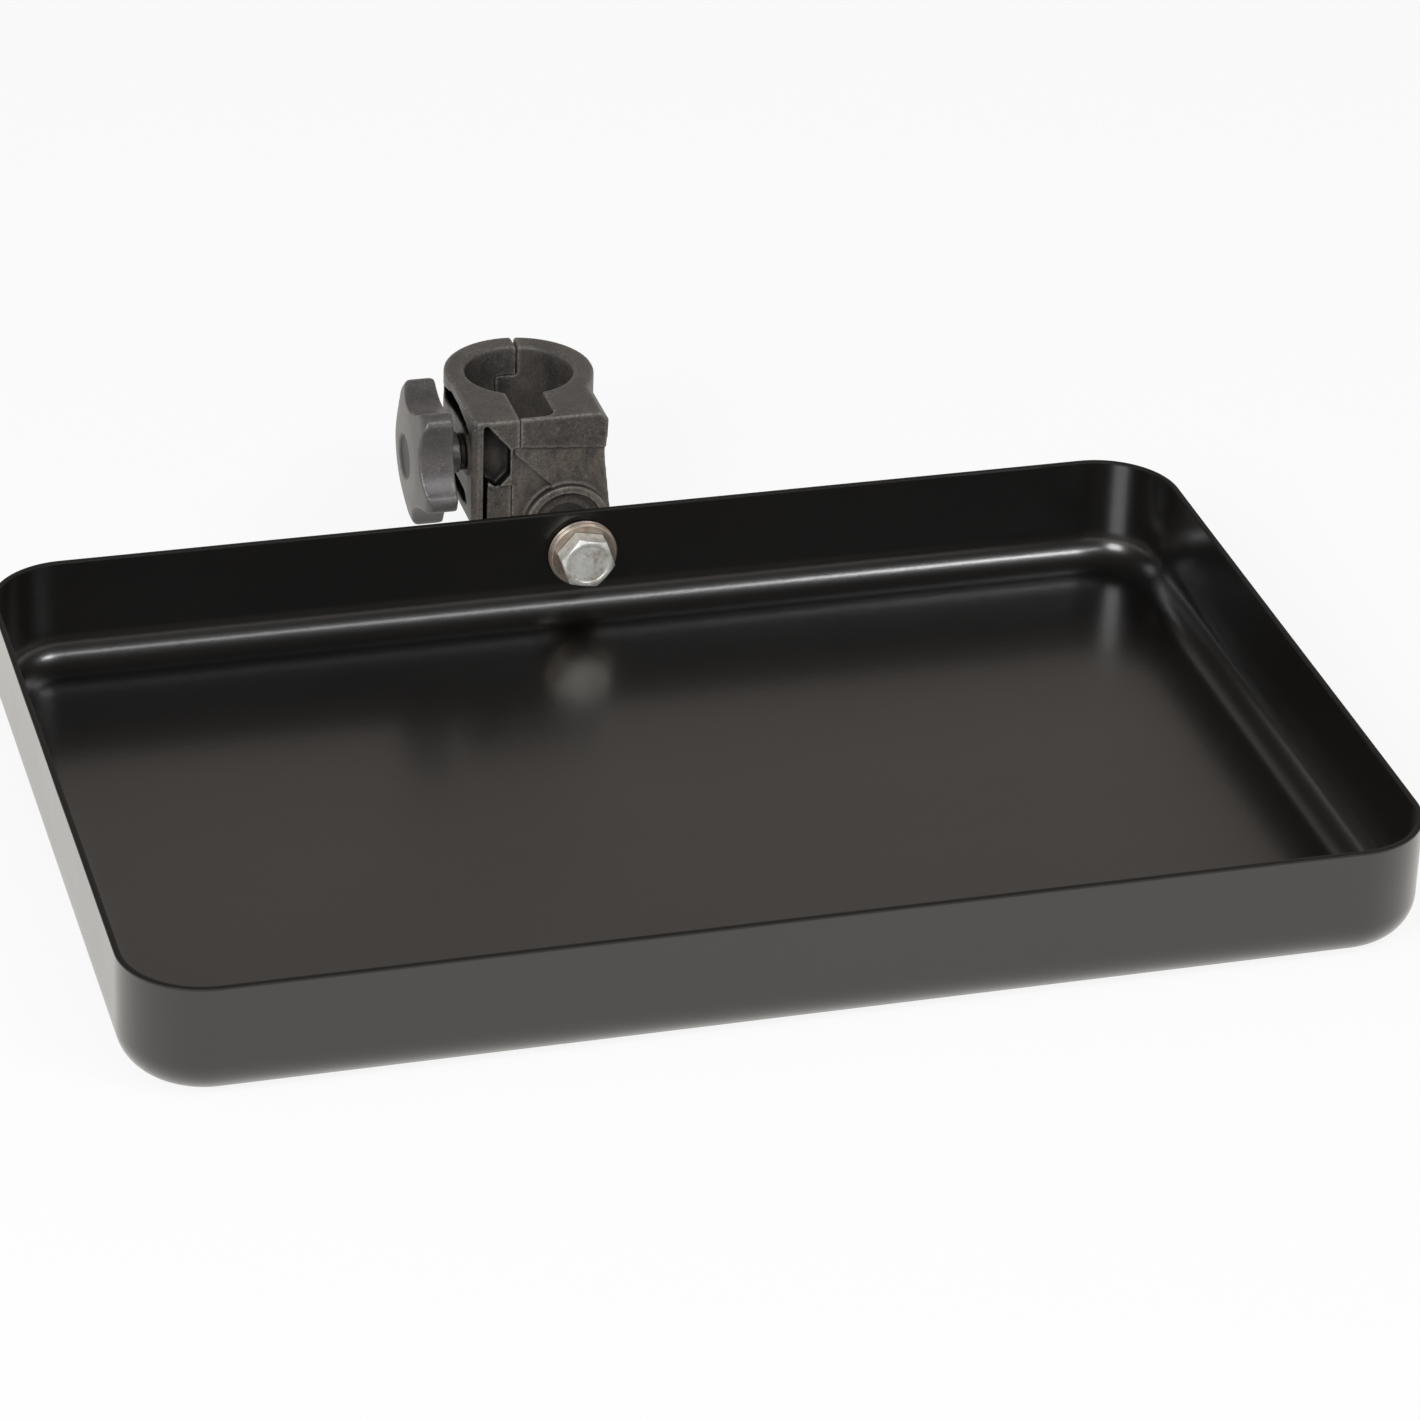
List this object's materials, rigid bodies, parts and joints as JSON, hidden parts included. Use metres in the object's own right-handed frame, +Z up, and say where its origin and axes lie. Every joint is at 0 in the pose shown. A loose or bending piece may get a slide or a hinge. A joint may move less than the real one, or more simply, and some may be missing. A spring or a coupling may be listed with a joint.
{
  "type": "side tray with tube clamp",
  "caption": "Shallow round-cornered metal tray, bolted through its back wall to a hinged clamp that closes on an upright round tube with a knob.",
  "frame": {"origin": "centre of the tray's flat underside", "axes": "+X along the tray's length, +Y from the tray's open front towards the clamp at its back, +Z up"},
  "size_m": [0.32, 0.2792, 0.0564],
  "materials": {
    "powder_coat": "satin black powder coat",
    "bolt_zinc": "bright zinc plate",
    "worn_zinc": "worn zinc plate",
    "bush_plastic": "black plastic",
    "clamp_nylon": "matte filled nylon, worn light at its edges",
    "nut_zinc": "zinc plate",
    "pin_steel": "plain steel",
    "knob_plastic": "satin moulded plastic"
  },
  "bodies": {
    "base": {"tray": "powder_coat", "tray_bolt": "bolt_zinc", "head_washer": "worn_zinc", "wall_washer": "worn_zinc", "spacer_bush": "bush_plastic", "bolt_nut": "nut_zinc", "clamp_body": "clamp_nylon", "hinge_pin": "pin_steel", "stud_nut": "nut_zinc"},
    "jaw": {"clamp_jaw": "clamp_nylon"},
    "thrust": {"thrust_washer": "worn_zinc"},
    "knob": {"knob_stud": "bolt_zinc", "knob": "knob_plastic"}
  },
  "joints": [
    {"name": "screw_travel", "type": "slide", "parent": "base", "child": "thrust", "axis": [-1, 0, 0], "range_m": [0, 0.004]},
    {"name": "knob_spin", "type": "hinge", "parent": "thrust", "child": "knob", "pos_m": [-0.038, 0.131, 0.0391], "axis": [-1, 0, 0], "range_deg": [0, 1440]},
    {"name": "jaw_swing", "type": "hinge", "parent": "base", "child": "jaw", "pos_m": [-0.0062, 0.16935, 0.036], "axis": [0, 0, -1], "range_deg": [0, 5]}
  ],
  "couplings": [
    {"joint": "screw_travel", "follows": "knob_spin", "m_per_rad": 0.00015915},
    {"joint": "jaw_swing", "follows": "knob_spin", "ratio": 0.0034486}
  ]
}
